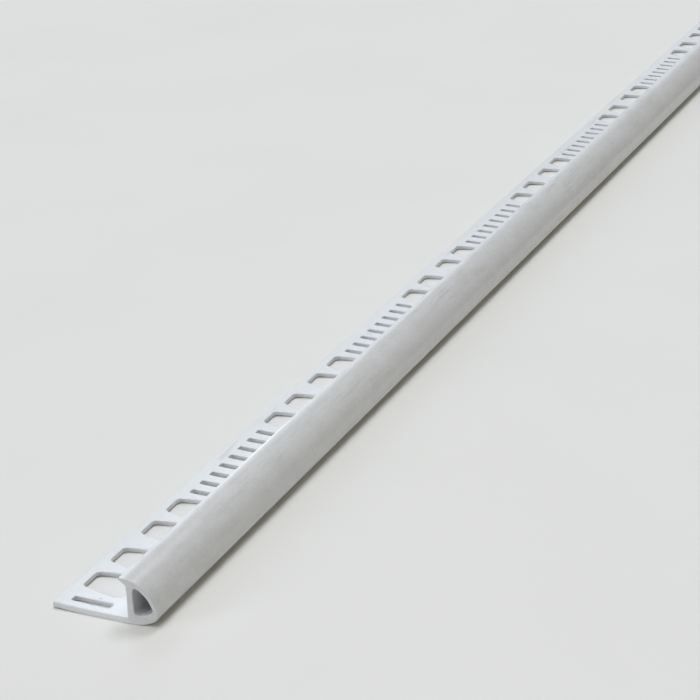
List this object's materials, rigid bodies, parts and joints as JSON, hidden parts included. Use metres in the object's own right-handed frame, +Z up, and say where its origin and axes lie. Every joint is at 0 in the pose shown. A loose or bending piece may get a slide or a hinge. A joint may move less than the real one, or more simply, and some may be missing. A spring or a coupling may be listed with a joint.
{
  "type": "outside corner tile trim",
  "caption": "White plastic quarter-round trim that finishes an outside corner of tiles, with a hollow nose, a tile lip and a flange punched with dovetail windows and slots.",
  "frame": {"origin": "on the floor under the middle of the stock's overall box", "axes": "+X from the flange's tip towards the round nose, +Y along the length away from the end nearest the camera, +Z up, away from the wall that the flange is bedded on"},
  "size_m": [0.03, 1.83, 0.012],
  "materials": {
    "white_pvc": "smooth semi-gloss white PVC, faintly scuffed"
  },
  "bodies": {
    "root": {"tile_trim": "white_pvc"}
  },
  "joints": []
}
